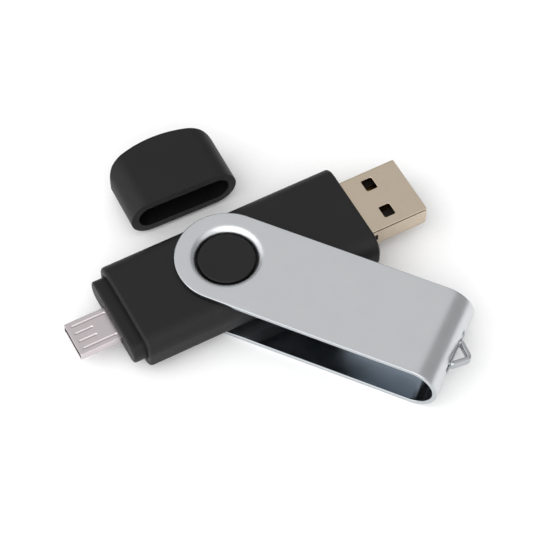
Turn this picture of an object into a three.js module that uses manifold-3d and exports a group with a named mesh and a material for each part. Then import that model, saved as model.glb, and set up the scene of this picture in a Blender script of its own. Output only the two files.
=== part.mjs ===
// A USB flash drive with two plugs: a type A plug at one end of a flat moulded housing, a micro-B plug
// at the other, a sheet-steel clip that swivels round bosses on the housing, and a loose cap for the
// small plug, which lies beside the drive.
//
// Millimetres, +X towards the type A plug, +Y towards the cap, +Z up. The pieces are placed round the
// swivel axis on the housing's mid-height, and the finished group is moved so that its origin is the
// centre of its footprint on the surface that the clip's lower leaf lies on.
import * as THREE from 'three';
import { mergeVertices } from 'three/addons/utils/BufferGeometryUtils.js';
import Module from 'manifold-3d';

const wasm = await Module();
wasm.setup();

// Housing
const housingLength = 43.6;
const housingWidth = 19.4;
const housingHeight = 7.6;
const housingSideRadius = 3.0;
const housingEndRadius = 0.6;
const housingWall = 1.3;
const lowerShellHeight = 2.4;
const partingGap = 0.12;
const lipHeight = 0.8;
const lipThickness = 0.6;
const lipClearance = 0.12;
const pivotToWideEnd = 24.4;

// Swivel bosses, and the grooves round them that the clip's rims run in
const bossRadius = 4.9;
const bossRise = 0.3;
const rimThroatClearance = 0.3;
const rimGrooveClearance = 0.4;
const rimTipClearance = 0.3;
const rimDepthInHousing = 0.47;

// Clip
const clipWidth = 17.6;
const clipSheet = 0.8;
const leafClearance = 0.2;
const rimFlareRadius = 1.4;
const clipTipRoom = 4.53;
const clipAngle = THREE.MathUtils.degToRad(-51.6);

// Key ring loop
const loopReach = 2.7;
const loopHalfBase = 2.9;
const loopWire = 0.8;
const loopHeight = 1.6;
const loopCornerRadius = 1.0;
const loopInnerRadii = [0.2, 0.45, 0.2];
const loopSlotClearance = 0.3;

// Type A plug
const wideWidth = 12.0;
const wideHeight = 4.5;
const wideSheet = 0.3;
const wideFoldRadius = 0.6;
const wideExposed = 11.05;
const wideInside = 6.9;
const wideSeam = 0.3;
const windowLength = 2.05;
const windowWidth = 2.4;
const windowSpacing = 6.2;
const windowFromTip = 5.2;
const lugLength = 0.8;
const lugHeight = 1.5;
const lugFromHousing = 0.7;
const wideTonguePlay = 0.05;
const wideTongueAboveContact = 0.05;
const wideTongueFromTip = 0.5;
const wideContactWidth = 1.0;
const wideContactThickness = 0.2;
const wideContactPitches = [-3.5, -1.0, 1.0, 3.5];
const wideContactFromTip = 1.5;
const innerContactSetback = 1.0;
const contactGrooveClearance = 0.05;

// Micro-B plug
const microWidth = 6.85;
const microHeight = 1.8;
const microSheet = 0.25;
const microBevel = 0.5;
const microExposed = 7.4;
const microGrooveWidth = 0.45;
const microGrooveDepth = 0.12;
const microGrooveFromTip = 0.8;
const longGroovePlace = 2.35;
const longGrooveLength = 6.3;
const shortGroovePlace = 0.82;
const shortGrooveLength = 3.4;
const microTongueWidth = 4.0;
const microTongueHeight = 0.6;
const microTonguePlay = 0.05;
const microTongueFromTip = 0.6;
const microContactCount = 5;
const microContactPitch = 0.65;
const microContactWidth = 0.35;
const microContactThickness = 0.12;
const microContactFromTip = 1.2;
const latchPlace = 2.55;
const latchWidth = 0.5;
const latchThickness = 0.2;
const latchHookFromTip = 2.6;
const latchHookLength = 1.6;
const latchHookRise = 0.3;
const latchHookPeak = [0.5, 0.7];

// Cap, and the collar that it grips
const capProud = 0.25;
const capDepth = 12.75;
const capWall = 1.4;
const capCrownRadius = 20;
const capCornerRadius = 3;
const capGapToHousing = 6.48;
const capAngle = THREE.MathUtils.degToRad(-1.5);
const capSlip = 0.15;
const capRibHeight = 0.2;
const capRibSlip = 0.1;
const capRibWidth = 0.8;
const capRibLength = 6;
const capRibFromMouth = 0.6;
const capRibPlace = 4.5;
const collarLength = 2.3;
const collarInside = 3.0;
const collarCornerRadius = 1.8;
const collarUnderPlug = 0.45;

// Circuit board and what is soldered to it
const boardSideGap = 0.8;
const boardThickness = 1.0;
const boardCornerRadius = 0.8;
const boardEndGap = 0.2;
const solderGap = 0.05;
const postRadius = 0.9;
const postInset = 1.6;
const postClearance = 0.2;
const pinMarkRadius = 0.4;
const endCapProud = 0.04;
const flashChip = { place: [4.2, 0], length: 12, width: 11, height: 1.0 };
const controllerChip = { place: [-9.2, 0], length: 6, width: 6, height: 0.8 };
const crystalPlace = [-4.1, 0.6];
const crystalBase = { length: 3.2, width: 2.5, height: 0.4 };
const crystalLid = { length: 2.8, width: 2.1, height: 0.8, radius: 0.4 };
const capacitorSize = { length: 1.6, width: 0.8, height: 0.7 };
const capacitorPlaces = [[-8.6, 4.9], [-5.4, 4.9], [-8.6, -4.9], [12.0, 0]];
const resistorSize = { length: 1.0, width: 0.5, height: 0.35 };
const resistorPlaces = [[-4.9, -4.2], [-4.9, -5.4], [-3.3, -4.2], [-3.3, -5.4]];

// Shared
const plugClearance = 0.15;
const overlap = 0.3;
const leastFlat = 0.1;
const roundSegments = 48;
const foldSegments = 20;
const cornerSegments = 6;
const smallSegments = 3;

// Places worked out from the sizes above
const wideEndX = pivotToWideEnd;
const smallEndX = wideEndX - housingLength;
const housingTop = housingHeight / 2;
const partingZ = lowerShellHeight - housingTop;
const grooveFloor = housingTop - rimDepthInHousing - rimTipClearance;
const rimThroat = bossRadius + rimThroatClearance;
const rimOuter = rimThroat + clipSheet;
const wideTipX = wideEndX + wideExposed;
const wideRearX = wideEndX - wideInside;
const capWidth = housingWidth + 2 * capProud;
const capHeight = housingHeight;
const collarFaceX = smallEndX - collarLength;
const collarRearX = smallEndX + collarInside;
const collarWidth = capWidth - 2 * (capWall + capSlip);
const collarHeight = capHeight - 2 * (capWall + capRibHeight + capRibSlip);
const microTipX = collarFaceX - microExposed;
const microRearX = collarRearX - overlap;
const microZ = (microHeight - collarHeight) / 2 + collarUnderPlug;
const boardWidth = housingWidth - 2 * (housingWall + lipThickness + boardSideGap);
const boardFromX = collarRearX + boardEndGap;
const boardToX = wideRearX - boardEndGap;
const boardMiddleX = (boardFromX + boardToX) / 2;
const boardTop = microZ + boardThickness / 2;
const boardUnderside = boardTop - boardThickness;
const partFoot = boardTop + solderGap;
const wideTongueTop = partFoot + wideContactThickness + wideTongueAboveContact;
const leafInner = housingTop + leafClearance;
const leafOuter = leafInner + clipSheet;
const plugReach = Math.max(Math.hypot(wideTipX, wideWidth / 2), Math.hypot(microTipX, microWidth / 2));
const clipReach = plugReach + clipTipRoom + clipSheet;
const bendCentreX = clipReach - leafOuter;

const alongX = new THREE.Matrix4().makeBasis(
  new THREE.Vector3(0, 1, 0), new THREE.Vector3(0, 0, 1), new THREE.Vector3(1, 0, 0));
const alongY = new THREE.Matrix4().makeBasis(
  new THREE.Vector3(0, 0, 1), new THREE.Vector3(1, 0, 0), new THREE.Vector3(0, 1, 0));
const alongZ = new THREE.Matrix4();

// Turns a closed three.js geometry into a solid: shared corners are merged, triangles that the merge
// flattened are left out, and a surface that came out inside-out is turned round.
function solid(geometry) {
  const bare = geometry.clone();
  bare.deleteAttribute('normal');
  bare.deleteAttribute('uv');
  const merged = mergeVertices(bare, 1e-5);
  const corners = merged.index.array;
  const kept = [];
  for (let i = 0; i < corners.length; i += 3) {
    const [a, b, c] = [corners[i], corners[i + 1], corners[i + 2]];
    if (a !== b && b !== c && c !== a) {
      kept.push(a, b, c);
    }
  }
  const places = merged.attributes.position;
  if (signedVolume(places, kept) < 0) {
    kept.reverse();
  }
  return new wasm.Manifold(new wasm.Mesh({
    numProp: 3,
    vertProperties: Float32Array.from(places.array),
    triVerts: Uint32Array.from(kept),
  }));
}

function signedVolume(places, triangles) {
  const [a, b, c] = [new THREE.Vector3(), new THREE.Vector3(), new THREE.Vector3()];
  let total = 0;
  for (let i = 0; i < triangles.length; i += 3) {
    a.fromBufferAttribute(places, triangles[i]);
    b.fromBufferAttribute(places, triangles[i + 1]);
    c.fromBufferAttribute(places, triangles[i + 2]);
    total += a.dot(b.cross(c)) / 6;
  }
  return total;
}

function geometryOf(body) {
  const mesh = body.getMesh();
  const geometry = new THREE.BufferGeometry();
  geometry.setAttribute('position', new THREE.BufferAttribute(Float32Array.from(mesh.vertProperties), 3));
  geometry.setIndex(new THREE.BufferAttribute(Uint32Array.from(mesh.triVerts), 1));
  geometry.computeVertexNormals();
  return geometry;
}

function box(fromX, toX, fromY, toY, fromZ, toZ) {
  const geometry = new THREE.BoxGeometry(toX - fromX, toY - fromY, toZ - fromZ);
  geometry.translate((fromX + toX) / 2, (fromY + toY) / 2, (fromZ + toZ) / 2);
  return solid(geometry);
}

// A prism of a shape drawn in the plane across the given direction.
function prism(shape, direction, from, to, curveSegments = cornerSegments, edgeRadius = 0) {
  const geometry = new THREE.ExtrudeGeometry(shape, {
    depth: to - from - 2 * edgeRadius,
    curveSegments,
    bevelEnabled: edgeRadius > 0,
    bevelThickness: edgeRadius,
    bevelSize: edgeRadius,
    bevelOffset: -edgeRadius,
    bevelSegments: smallSegments,
  });
  geometry.translate(0, 0, from + edgeRadius);
  geometry.applyMatrix4(direction);
  return solid(geometry);
}

// An upright cylinder.
function disc(radius, fromZ, toZ, segments = roundSegments) {
  const geometry = new THREE.CylinderGeometry(radius, radius, toZ - fromZ, segments);
  geometry.rotateX(Math.PI / 2);
  geometry.translate(0, 0, (fromZ + toZ) / 2);
  return solid(geometry);
}

// A closed profile of [radius, z] points turned round the Z axis.
function turned(profile) {
  const points = [...profile, profile[0]].map(([radius, z]) => new THREE.Vector2(radius, z));
  const geometry = new THREE.LatheGeometry(points, roundSegments);
  geometry.rotateX(Math.PI / 2);
  return solid(geometry);
}

// A closed outline through [x, y, radius] corners, given anticlockwise, with each corner rounded.
function roundedOutline(corners) {
  const shape = new THREE.Shape();
  corners.forEach(([x, y, radius = 0], i) => {
    const corner = new THREE.Vector2(x, y);
    const [beforeX, beforeY] = corners.at(i - 1);
    const [afterX, afterY] = corners[(i + 1) % corners.length];
    const back = new THREE.Vector2(beforeX, beforeY).sub(corner).normalize();
    const ahead = new THREE.Vector2(afterX, afterY).sub(corner).normalize();
    const halfAngle = Math.acos(back.dot(ahead)) / 2;
    const run = radius / Math.tan(halfAngle);
    const start = back.clone().multiplyScalar(run).add(corner);
    if (i === 0) {
      shape.moveTo(start.x, start.y);
    } else {
      shape.lineTo(start.x, start.y);
    }
    if (radius > 0) {
      const end = ahead.clone().multiplyScalar(run).add(corner);
      const toCentre = back.clone().add(ahead).normalize().multiplyScalar(radius / Math.sin(halfAngle));
      const centre = corner.clone().add(toCentre);
      const fromAngle = Math.atan2(start.y - centre.y, start.x - centre.x);
      const toAngle = Math.atan2(end.y - centre.y, end.x - centre.x);
      shape.absarc(centre.x, centre.y, radius, fromAngle, toAngle, back.cross(ahead) > 0);
    }
  });
  shape.closePath();
  return shape;
}

// A rectangle with rounded corners, which leave a short flat on its narrow sides.
function roundedRectangle(width, height, radius, centreX = 0, centreY = 0) {
  const [x, y] = [width / 2, height / 2];
  const corner = Math.min(radius, Math.min(x, y) - leastFlat / 2);
  return roundedOutline([
    [centreX - x, centreY - y, corner],
    [centreX + x, centreY - y, corner],
    [centreX + x, centreY + y, corner],
    [centreX - x, centreY + y, corner],
  ]);
}

const shared = {
  blackPlastic: { color: 0x2b2a2c, roughness: 0.62, metalness: 0 },
  darkPlastic: { color: 0x2a2320, roughness: 0.55, metalness: 0 },
  chipPlastic: { color: 0x1d1d1f, roughness: 0.5, metalness: 0 },
  boardLaminate: { color: 0x1f5a34, roughness: 0.4, metalness: 0 },
  ceramic: { color: 0xb99b74, roughness: 0.45, metalness: 0 },
  warmNickel: { color: 0xb5a99c, roughness: 0.32, metalness: 1 },
  paleNickel: { color: 0xbdb3b3, roughness: 0.34, metalness: 1 },
  satinChrome: { color: 0xbcbdbe, roughness: 0.36, metalness: 1 },
  brightChrome: { color: 0xd2d4d4, roughness: 0.12, metalness: 1 },
  gold: { color: 0xd0a54a, roughness: 0.28, metalness: 1 },
};

function piece(name, body, finish) {
  const material = new THREE.MeshStandardMaterial({ ...finish, flatShading: true });
  const mesh = new THREE.Mesh(geometryOf(body), material);
  mesh.name = name;
  return mesh;
}

// ---- Housing ----

// The space that both plugs and the collar take in the housing's end walls, with their clearance.
function plugPassages() {
  const gap = 2 * plugClearance;
  const wide = prism(wideOutline(plugClearance), alongX, wideRearX - overlap, wideTipX);
  const collar = prism(roundedRectangle(collarWidth + gap, collarHeight + gap, collarCornerRadius),
    alongX, microTipX, collarRearX + plugClearance);
  return wide.add(collar);
}

// The hollow inside the shells, drawn in by the given amount.
function hollow(inset) {
  const across = housingWidth - 2 * (housingWall + inset);
  const high = housingHeight - 2 * (housingWall + inset);
  const radius = Math.max(housingSideRadius - housingWall - inset, overlap);
  return prism(roundedRectangle(across, high, radius), alongX,
    smallEndX + housingWall + inset, wideEndX - housingWall - inset);
}

function housingBody() {
  let body = prism(roundedRectangle(housingWidth, housingHeight, housingSideRadius), alongX,
    smallEndX, wideEndX, cornerSegments, housingEndRadius);
  const bossBlank = (bossRadius + rimOuter) / 2;
  const bossTop = housingTop + bossRise;
  for (const side of [-1, 1]) {
    const blank = side > 0 ? disc(bossBlank, 0, bossTop) : disc(bossBlank, -bossTop, 0);
    const grooveOuter = rimOuter + rimGrooveClearance;
    const groove = turned([
      [bossRadius, side * grooveFloor],
      [grooveOuter, side * grooveFloor],
      [grooveOuter, side * (bossTop + overlap)],
      [bossRadius, side * (bossTop + overlap)],
    ]);
    body = body.add(blank).subtract(groove);
  }
  return body.subtract(hollow(0)).subtract(plugPassages());
}

// Round posts that hold the board from one side, near its corners.
function boardPosts(fromZ, toZ) {
  const endX = (boardToX - boardFromX) / 2 - postInset;
  const pastContacts = wideContactPitches.at(-1) + wideContactWidth / 2 + postClearance + postRadius;
  const sideY = Math.max(boardWidth / 2 - postInset, pastContacts);
  let posts;
  for (const x of [-endX, endX]) {
    for (const y of [-sideY, sideY]) {
      const post = disc(postRadius, fromZ, toZ, 2 * cornerSegments).translate([boardMiddleX + x, y, 0]);
      posts = posts ? posts.add(post) : post;
    }
  }
  return posts;
}

// Everything above or below a height, for splitting the housing.
function slabBetween(fromZ, toZ) {
  return box(smallEndX - housingLength, wideEndX + housingLength, -housingWidth, housingWidth, fromZ, toZ);
}

// The rim of the lower shell that locates it inside the upper one.
function locatingLip() {
  const seatZ = partingZ - partingGap / 2;
  const root = hollow(-lipClearance).subtract(hollow(lipThickness))
    .intersect(slabBetween(seatZ - lipHeight, seatZ));
  const rim = hollow(lipClearance).subtract(hollow(lipThickness))
    .intersect(slabBetween(seatZ - lipHeight, partingZ + lipHeight));
  return root.add(rim).subtract(plugPassages());
}

function upperHousing() {
  const ceiling = housingTop - housingWall;
  return housingBody()
    .intersect(slabBetween(partingZ + partingGap / 2, housingHeight))
    .add(boardPosts(boardTop + solderGap, ceiling + overlap));
}

function lowerHousing() {
  const floor = housingWall - housingTop;
  return housingBody()
    .intersect(slabBetween(-housingHeight, partingZ - partingGap / 2))
    .add(locatingLip())
    .add(boardPosts(floor - overlap, boardUnderside - solderGap));
}

// The end frame that carries the micro-B plug and that the cap grips.
function plugCollar() {
  const block = prism(roundedRectangle(collarWidth, collarHeight, collarCornerRadius),
    alongX, collarFaceX, collarRearX);
  const hole = box(microTipX, boardFromX, -microWidth / 2 - plugClearance, microWidth / 2 + plugClearance,
    microZ - microHeight / 2 - plugClearance, microZ + microHeight / 2 + plugClearance);
  return block.subtract(hole);
}

// ---- Type A plug ----

// The shell's section, grown by the given amount: three folds, and a square edge above the seam.
function wideOutline(grown) {
  const [y, z] = [wideWidth / 2 + grown, wideHeight / 2 + grown];
  return roundedOutline([
    [-y, -z, wideFoldRadius], [y, -z, wideFoldRadius], [y, z, wideFoldRadius], [-y, z],
  ]);
}

// One bent sheet: its upper edge on the side away from the cap is an open seam.
function wideShell() {
  const [y, z] = [wideWidth / 2, wideHeight / 2];
  const inner = roundedRectangle(wideWidth - 2 * wideSheet, wideHeight - 2 * wideSheet,
    wideFoldRadius - wideSheet);
  let shell = prism(wideOutline(0), alongX, wideRearX, wideTipX, smallSegments)
    .subtract(prism(inner, alongX, wideRearX - overlap, wideTipX + overlap, smallSegments));
  const seamTop = z - wideSheet;
  shell = shell.subtract(box(wideRearX - overlap, wideTipX + overlap, -y - overlap, -y + wideFoldRadius,
    seamTop - wideSeam, seamTop));
  const windowToX = wideTipX - windowFromTip;
  for (const side of [-1, 1]) {
    const middle = side * windowSpacing / 2;
    const opening = roundedRectangle(windowLength, windowWidth, wideSheet,
      windowToX - windowLength / 2, middle);
    shell = shell.subtract(prism(opening, alongZ, -wideHeight, wideHeight, smallSegments));
  }
  const lugX = wideEndX + lugFromHousing;
  return shell.subtract(box(lugX, lugX + lugLength, -y - overlap, -y + wideSheet + overlap,
    -lugHeight / 2, lugHeight / 2));
}

function wideTongue() {
  const half = wideWidth / 2 - wideSheet - wideTonguePlay;
  const under = -wideHeight / 2 + wideSheet + wideTonguePlay;
  const section = roundedOutline([
    [-half, under, wideFoldRadius],
    [half, under, wideFoldRadius],
    [half, wideTongueTop],
    [-half, wideTongueTop],
  ]);
  let tongue = prism(section, alongX, wideRearX + wideTonguePlay, wideTipX - wideTongueFromTip,
    smallSegments);
  const grooveHalf = wideContactWidth / 2 + contactGrooveClearance;
  const grooveUnder = partFoot - contactGrooveClearance;
  wideContactPitches.forEach((y, i) => {
    tongue = tongue.subtract(box(wideRearX - overlap, wideContactTipX(i) + contactGrooveClearance,
      y - grooveHalf, y + grooveHalf, grooveUnder, wideTongueTop + overlap));
  });
  return tongue;
}

// The two data contacts start further back than the two power contacts.
function wideContactTipX(i) {
  const isData = i === 1 || i === 2;
  return wideTipX - wideContactFromTip - (isData ? innerContactSetback : 0);
}

function wideContact(i) {
  const y = wideContactPitches[i];
  return box(boardToX - 2 * wideContactWidth, wideContactTipX(i), y - wideContactWidth / 2,
    y + wideContactWidth / 2, partFoot, partFoot + wideContactThickness);
}

// ---- Micro-B plug ----

function microSection(inset) {
  const y = microWidth / 2 - inset;
  const low = microZ - microHeight / 2 + inset;
  const high = microZ + microHeight / 2 - inset;
  const bevel = microBevel - inset / 2;
  return roundedOutline([
    [-y + bevel, low], [y - bevel, low], [y, low + bevel], [y, high, microSheet], [-y, high, microSheet],
    [-y, low + bevel],
  ]);
}

// A drawn sleeve with four pressed grooves along its top and two slots in its underside for the latches.
function microShell() {
  const bore = prism(microSection(microSheet), alongX, microTipX - overlap, microRearX + overlap,
    smallSegments);
  let shell = prism(microSection(0), alongX, microTipX, microRearX, smallSegments).subtract(bore);
  const top = microZ + microHeight / 2;
  const grooveFromX = microTipX + microGrooveFromTip;
  const grooves = [[longGroovePlace, longGrooveLength], [shortGroovePlace, shortGrooveLength]];
  for (const side of [-1, 1]) {
    for (const [place, length] of grooves) {
      const outline = roundedRectangle(length, microGrooveWidth, microGrooveWidth / 2,
        grooveFromX + length / 2, side * place);
      shell = shell.subtract(prism(outline, alongZ, top - microGrooveDepth, top + overlap, smallSegments));
    }
    const slotHalf = latchWidth / 2 + contactGrooveClearance;
    const slotFromX = microTipX + latchHookFromTip - contactGrooveClearance;
    shell = shell.subtract(box(slotFromX, slotFromX + latchHookLength + 2 * contactGrooveClearance,
      side * latchPlace - slotHalf, side * latchPlace + slotHalf,
      microZ - microHeight, microZ));
  }
  return shell;
}

function microTongueUnder() {
  return microZ - microHeight / 2 + microSheet + microTonguePlay;
}

function microContactBottom() {
  return microTongueUnder() + microTongueHeight - microContactThickness;
}

function microContactY(i) {
  return (i - (microContactCount - 1) / 2) * microContactPitch;
}

function microTongue() {
  const under = microTongueUnder();
  const top = under + microTongueHeight;
  let tongue = box(microTipX + microTongueFromTip, microRearX, -microTongueWidth / 2, microTongueWidth / 2,
    under, top);
  const grooveHalf = microContactWidth / 2 + contactGrooveClearance;
  for (let i = 0; i < microContactCount; i += 1) {
    const y = microContactY(i);
    tongue = tongue.subtract(box(microTipX + microContactFromTip - contactGrooveClearance,
      microRearX + overlap, y - grooveHalf, y + grooveHalf,
      microContactBottom() - contactGrooveClearance, top + overlap));
  }
  return tongue;
}

function microContact(i) {
  const y = microContactY(i);
  const half = microContactWidth / 2;
  return box(microTipX + microContactFromTip, microRearX, y - half, y + half,
    microContactBottom(), microContactBottom() + microContactThickness);
}

// A leaf spring along the side of the tongue, with a hook that stands out through its slot.
function microLatch(side) {
  const low = microTongueUnder();
  const high = low + latchThickness;
  const hookX = microTipX + latchHookFromTip;
  const hookZ = microZ - microHeight / 2 - latchHookRise;
  const y = side * latchPlace;
  const [peakFrom, peakTo] = latchHookPeak.map((share) => hookX + latchHookLength * share);
  const outline = roundedOutline([
    [high, hookX], [high, microRearX], [low, microRearX], [low, hookX + latchHookLength],
    [hookZ, peakTo], [hookZ, peakFrom], [low, hookX],
  ]);
  return prism(outline, alongY, y - latchWidth / 2, y + latchWidth / 2, smallSegments);
}

// ---- Circuit board ----

function circuitBoard() {
  const outline = roundedRectangle(boardToX - boardFromX, boardWidth, boardCornerRadius, boardMiddleX, 0);
  return prism(outline, alongZ, boardUnderside, boardTop, smallSegments);
}

// A chip package with a round mark sunk in the corner of its first pin.
function chip({ place, length, width, height }) {
  const x = boardMiddleX + place[0];
  const y = place[1];
  const top = partFoot + height;
  const mark = disc(pinMarkRadius, top - pinMarkRadius / 4, top + overlap, 2 * cornerSegments)
    .translate([x - length / 2 + 2 * pinMarkRadius, y - width / 2 + 2 * pinMarkRadius, 0]);
  const outline = roundedRectangle(length, width, pinMarkRadius / 2, x, y);
  return prism(outline, alongZ, partFoot, top, smallSegments).subtract(mark);
}

// A ceramic base under a drawn metal lid.
function crystalCan() {
  const x = boardMiddleX + crystalPlace[0];
  const y = crystalPlace[1];
  const base = box(x - crystalBase.length / 2, x + crystalBase.length / 2,
    y - crystalBase.width / 2, y + crystalBase.width / 2, partFoot, partFoot + crystalBase.height);
  const lid = prism(roundedRectangle(crystalLid.length, crystalLid.width, crystalLid.radius, x, y), alongZ,
    partFoot + crystalBase.height / 2, partFoot + crystalLid.height, smallSegments);
  return base.add(lid);
}

// A two-ended surface-mount part whose end caps stand a little proud of its middle.
function surfaceMount([fromMiddle, y], { length, width, height }) {
  const x = boardMiddleX + fromMiddle;
  const end = length / 4;
  const [half, across] = [length / 2, width / 2];
  const broad = across + endCapProud;
  const middle = box(x - half + end / 2, x + half - end / 2, y - across, y + across,
    partFoot + endCapProud, partFoot + height - endCapProud);
  const left = box(x - half, x - half + end, y - broad, y + broad, partFoot, partFoot + height);
  const right = box(x + half - end, x + half, y - broad, y + broad, partFoot, partFoot + height);
  return middle.add(left).add(right);
}

// ---- Clip and loop, drawn with the clip's length along +X ----

// The hole's rim in one leaf: the sheet curves in towards the housing and ends as a short tube.
function clipRim(side) {
  const centre = [rimThroat + rimFlareRadius, leafOuter - rimFlareRadius];
  const innerRadius = rimFlareRadius - clipSheet;
  const arc = (radius, from, to) => Array.from({ length: cornerSegments }, (_, i) => {
    const angle = from + (to - from) * i / (cornerSegments - 1);
    return [centre[0] + radius * Math.cos(angle), side * (centre[1] + radius * Math.sin(angle))];
  });
  const tip = side * (housingTop - rimDepthInHousing);
  return turned([
    [centre[0] + overlap, side * leafOuter],
    ...arc(rimFlareRadius, Math.PI / 2, Math.PI),
    [rimThroat, tip],
    [rimOuter, tip],
    ...arc(innerRadius, Math.PI, Math.PI / 2),
    [centre[0] + overlap, side * leafInner],
  ]);
}

function swivelClip() {
  const pastHead = -clipWidth;
  const profile = new THREE.Shape();
  profile.moveTo(leafOuter, pastHead);
  profile.lineTo(leafOuter, bendCentreX);
  profile.absarc(0, bendCentreX, leafOuter, 0, Math.PI, false);
  profile.lineTo(-leafOuter, pastHead);
  profile.lineTo(-leafInner, pastHead);
  profile.lineTo(-leafInner, bendCentreX);
  profile.absarc(0, bendCentreX, leafInner, Math.PI, 0, true);
  profile.lineTo(leafInner, pastHead);
  const sheet = prism(profile, alongY, -clipWidth, clipWidth, foldSegments);

  const half = clipWidth / 2;
  const plan = new THREE.Shape();
  plan.absarc(0, 0, half, Math.PI / 2, 3 * Math.PI / 2, false);
  plan.lineTo(clipReach + overlap, -half);
  plan.lineTo(clipReach + overlap, half);
  plan.closePath();
  let clip = sheet.intersect(prism(plan, alongZ, -housingHeight, housingHeight, roundSegments / 2));

  const hole = disc(rimThroat + rimFlareRadius, -housingHeight, housingHeight);
  clip = clip.subtract(hole).add(clipRim(1)).add(clipRim(-1));

  const slotHalf = loopHalfWidthAt(clipReach - loopWire) + loopSlotClearance;
  const slotHigh = loopHeight / 2 + loopSlotClearance;
  return clip.subtract(box(bendCentreX, clipReach + overlap, -slotHalf, slotHalf, -slotHigh, slotHigh));
}

// Half the loop's outer width at a distance along the clip, on its straight arms.
function loopHalfWidthAt(x) {
  return loopHalfBase * (clipReach + loopReach - x) / loopReach;
}

// A closed triangle of flat wire, whose straight side sits in the slot through the clip's bend.
function keyringLoop() {
  const backX = clipReach - loopWire;
  const corners = [
    [backX, -loopHalfWidthAt(backX)],
    [clipReach + loopReach + loopPointRoom(), 0],
    [backX, loopHalfWidthAt(backX)],
  ];
  const sides = corners.map(([x, y], i) => {
    const [nextX, nextY] = corners[(i + 1) % 3];
    return Math.hypot(nextX - x, nextY - y);
  });
  const around = sides[0] + sides[1] + sides[2];
  const area = (corners[1][0] - corners[0][0]) * (corners[2][1] - corners[0][1]) / 2;
  const inRadius = 2 * area / around;
  const opposite = [sides[1], sides[2], sides[0]];
  const inCentreX = corners.reduce((sum, [x], i) => sum + x * opposite[i], 0) / around;
  const shrink = 1 - loopWire / inRadius;
  const outerRadii = [loopWire / 2, loopCornerRadius, loopWire / 2];
  const outer = roundedOutline(corners.map(([x, y], i) => [x, y, outerRadii[i]]));
  const inner = roundedOutline(corners.map(([x, y], i) => (
    [inCentreX + (x - inCentreX) * shrink, y * shrink, loopInnerRadii[i]])));
  const high = loopHeight / 2;
  return prism(outer, alongZ, -high, high, cornerSegments)
    .subtract(prism(inner, alongZ, -loopHeight, loopHeight, smallSegments));
}

// How far the sharp corner of the loop's outline stands past its rounded tip.
function loopPointRoom() {
  const halfPoint = Math.atan2(loopHalfBase, loopReach);
  return loopCornerRadius * (1 / Math.sin(halfPoint) - 1);
}

// ---- Cap, drawn with its mouth at y = 0 and its closed end towards +Y ----

// The cap's outline from above, drawn in by the given amount: straight sides and a crowned end.
function capPlan(inset, mouthY) {
  const half = capWidth / 2 - inset;
  const corner = capCornerRadius - inset;
  const crown = capCrownRadius - inset;
  const crownY = capDepth - capCrownRadius;
  const cornerX = half - corner;
  const cornerY = crownY + Math.sqrt((crown - corner) ** 2 - cornerX ** 2);
  const blend = Math.atan2(cornerY - crownY, cornerX);
  const plan = new THREE.Shape();
  plan.moveTo(-half, mouthY);
  plan.lineTo(half, mouthY);
  plan.absarc(cornerX, cornerY, corner, 0, blend, false);
  plan.absarc(0, crownY, crown, blend, Math.PI - blend, false);
  plan.absarc(-cornerX, cornerY, corner, Math.PI - blend, Math.PI, false);
  plan.closePath();
  return plan;
}

function capForm(inset, fromY, segments) {
  const high = capHeight - 2 * inset;
  const section = roundedRectangle(high, capWidth - 2 * inset, high / 2);
  return prism(section, alongY, fromY, capDepth, segments)
    .intersect(prism(capPlan(inset, fromY), alongZ, -capHeight, capHeight, segments));
}

function cap() {
  let body = capForm(0, 0, 2 * cornerSegments).subtract(capForm(capWall, -overlap, cornerSegments));
  const wallZ = capHeight / 2 - capWall;
  for (const sideZ of [-1, 1]) {
    for (const sideX of [-1, 1]) {
      const x = sideX * capRibPlace;
      const tip = wallZ - capRibHeight;
      const root = wallZ + overlap;
      const rib = box(x - capRibWidth / 2, x + capRibWidth / 2,
        capRibFromMouth, capRibFromMouth + capRibLength,
        sideZ > 0 ? tip : -root, sideZ > 0 ? root : -tip);
      body = body.add(rib);
    }
  }
  return body;
}

// ---- Assembly ----

function housingPieces() {
  return [
    piece('upper_housing', upperHousing(), shared.blackPlastic),
    piece('lower_housing', lowerHousing(), shared.blackPlastic),
    piece('plug_collar', plugCollar(), shared.blackPlastic),
  ];
}

function widePlugPieces() {
  return [
    piece('usb_a_shell', wideShell(), shared.warmNickel),
    piece('usb_a_tongue', wideTongue(), shared.darkPlastic),
    ...wideContactPitches.map((_, i) => piece(`usb_a_contact_${i + 1}`, wideContact(i), shared.gold)),
  ];
}

function microPlugPieces() {
  const contacts = Array.from({ length: microContactCount }, (_, i) => i);
  return [
    piece('micro_usb_shell', microShell(), shared.paleNickel),
    piece('micro_usb_tongue', microTongue(), shared.darkPlastic),
    ...contacts.map((i) => piece(`micro_usb_contact_${i + 1}`, microContact(i), shared.gold)),
    piece('micro_usb_latch_left', microLatch(1), shared.paleNickel),
    piece('micro_usb_latch_right', microLatch(-1), shared.paleNickel),
  ];
}

function boardPieces() {
  return [
    piece('circuit_board', circuitBoard(), shared.boardLaminate),
    piece('flash_memory_chip', chip(flashChip), shared.chipPlastic),
    piece('controller_chip', chip(controllerChip), shared.chipPlastic),
    piece('crystal', crystalCan(), shared.paleNickel),
    ...capacitorPlaces.map((place, i) => (
      piece(`capacitor_${i + 1}`, surfaceMount(place, capacitorSize), shared.ceramic))),
    ...resistorPlaces.map((place, i) => (
      piece(`resistor_${i + 1}`, surfaceMount(place, resistorSize), shared.chipPlastic))),
  ];
}

const drive = new THREE.Group();
drive.add(...housingPieces(), ...widePlugPieces(), ...microPlugPieces(), ...boardPieces());

const clipGroup = new THREE.Group();
clipGroup.rotation.z = clipAngle;
clipGroup.add(
  piece('swivel_clip', swivelClip(), shared.satinChrome),
  piece('keyring_loop', keyringLoop(), shared.brightChrome),
);
drive.add(clipGroup);

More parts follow.
